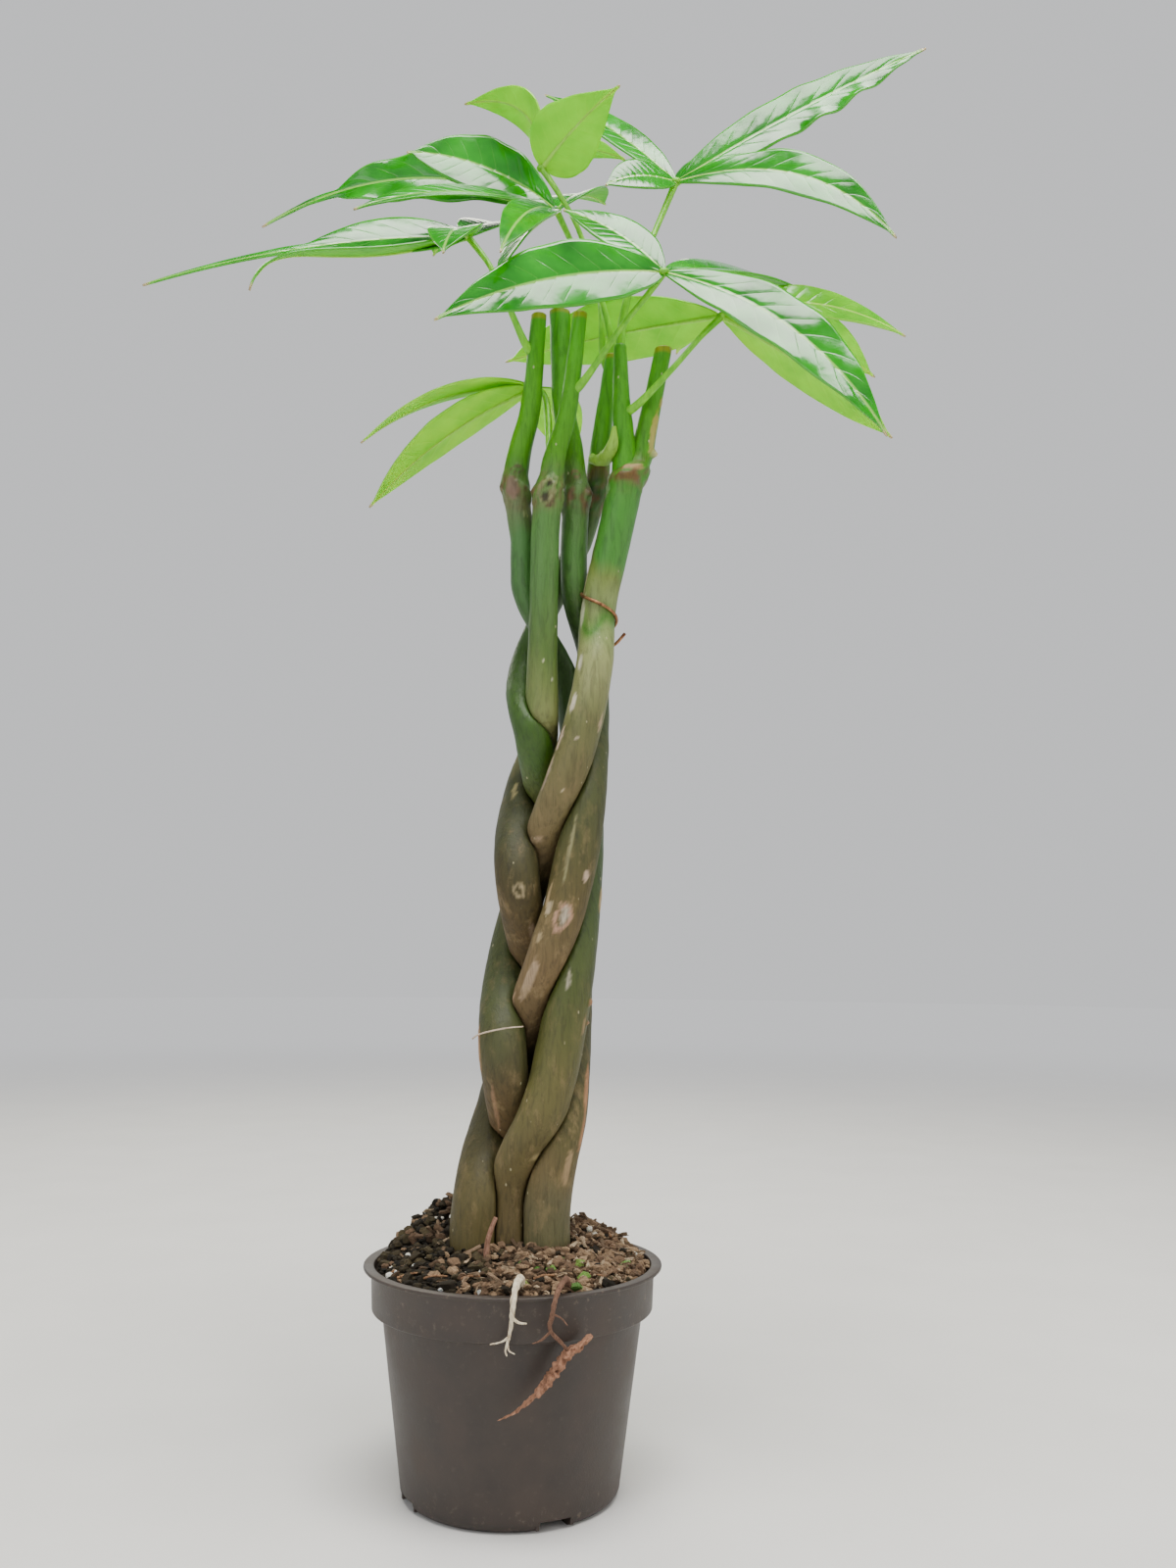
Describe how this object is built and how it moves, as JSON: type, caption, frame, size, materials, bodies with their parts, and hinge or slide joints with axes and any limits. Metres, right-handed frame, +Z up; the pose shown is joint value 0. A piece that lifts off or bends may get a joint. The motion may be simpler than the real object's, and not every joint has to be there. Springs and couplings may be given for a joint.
{
  "type": "potted money tree",
  "caption": "Small money tree with a plaited trunk of bare stems, cut shoots and hand-shaped compound leaves, growing in heaped soil in a round thin-walled nursery pot that stands flat.",
  "frame": {"origin": "on the pot's axis, on the surface that the pot's flat foot stands on", "axes": "+Z up along the trunk, -Y towards the front of the plant as it was pictured, +X to its right"},
  "size_m": [0.2989, 0.1389, 0.5552],
  "materials": {
    "pot": "dark grey-brown thin plastic, satin, with a fine grain",
    "soil": null,
    "green_bark": "living green bark, smooth and faintly satin",
    "old_bark": "olive and tan mottled bark with pale scars, matte",
    "copper_wire": "dull copper wire",
    "leaf": null,
    "young_leaf": null,
    "pale_root": "dry cream-coloured root fibre, matte",
    "brown_root": "dry reddish-brown root and bark shred, matte"
  },
  "bodies": {
    "root": {"nursery_pot": "pot", "potting_soil": "soil", "stem_left": "green_bark", "stem_front": "old_bark", "stem_centre": "old_bark", "stem_right": "old_bark", "stem_back": "green_bark", "wire_tie": "copper_wire", "leaf_upper_right": "leaf", "leaf_centre": "leaf", "leaf_lower_right": "young_leaf", "leaf_upper_left": "leaf", "leaf_far_left": "leaf", "leaf_young": "young_leaf", "leaf_lower_left": "young_leaf", "pale_root": "pale_root", "reddish_root": "brown_root", "root_stub": "brown_root"}
  },
  "joints": []
}
